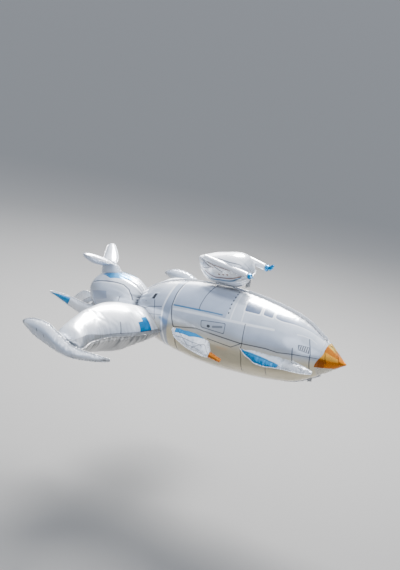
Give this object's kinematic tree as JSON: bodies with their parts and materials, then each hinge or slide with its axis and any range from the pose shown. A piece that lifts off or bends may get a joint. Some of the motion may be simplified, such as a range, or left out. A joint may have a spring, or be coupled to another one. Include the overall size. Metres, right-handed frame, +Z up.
{
  "type": "spaceship foil balloon",
  "caption": "Inflated foil balloon in the shape of a spaceship, with a long round hull, tail pod, back pod, wings, winglets and fins.",
  "frame": {"origin": "on the hull's long axis at its thickest part, where the floating balloon is held", "axes": "+X to the nose, +Y to the balloon's left side, +Z up from the belly to the back pod"},
  "size_m": [1.0163, 0.946, 0.38],
  "materials": {
    "hull_foil": "satin pearl-white printed foil film with grey panel lines",
    "pod_foil": "satin pearl-white printed foil film",
    "pad_foil": "satin pearl-white foil film",
    "wing_foil": "satin pearl-white foil film above, bare silver foil below",
    "seam_foil": "heat-sealed double foil margin",
    "silver_foil": "bare mirror-silver foil film, puckered",
    "blue_foil": "blue printed foil film",
    "orange_foil": "orange printed foil film"
  },
  "bodies": {
    "root": {"hull": "hull_foil", "nose_cap": "orange_foil", "dorsal_seam": "seam_foil", "belly_seam": "seam_foil", "tail_pod": "pod_foil", "tail_pylon": "pod_foil", "lower_tail_base": "silver_foil", "top_pod": "pod_foil", "hull_neck": "silver_foil", "top_pod_neck": "silver_foil", "barrel_left": "pad_foil", "barrel_cap_left": "blue_foil", "barrel_fin_left": "blue_foil", "wing_left": "wing_foil", "winglet_left": "wing_foil", "mid_fin_left": "pad_foil", "mid_fin_tip_left": "orange_foil", "canard_left": "pad_foil", "upper_tail_fin_left": "pad_foil", "lower_tail_fin_left": "pad_foil", "lower_tail_tip_left": "blue_foil", "barrel_right": "pad_foil", "barrel_cap_right": "blue_foil", "barrel_fin_right": "blue_foil", "wing_right": "wing_foil", "winglet_right": "wing_foil", "mid_fin_right": "pad_foil", "mid_fin_tip_right": "orange_foil", "canard_right": "pad_foil", "upper_tail_fin_right": "pad_foil", "lower_tail_fin_right": "pad_foil", "lower_tail_tip_right": "blue_foil"}
  },
  "joints": []
}
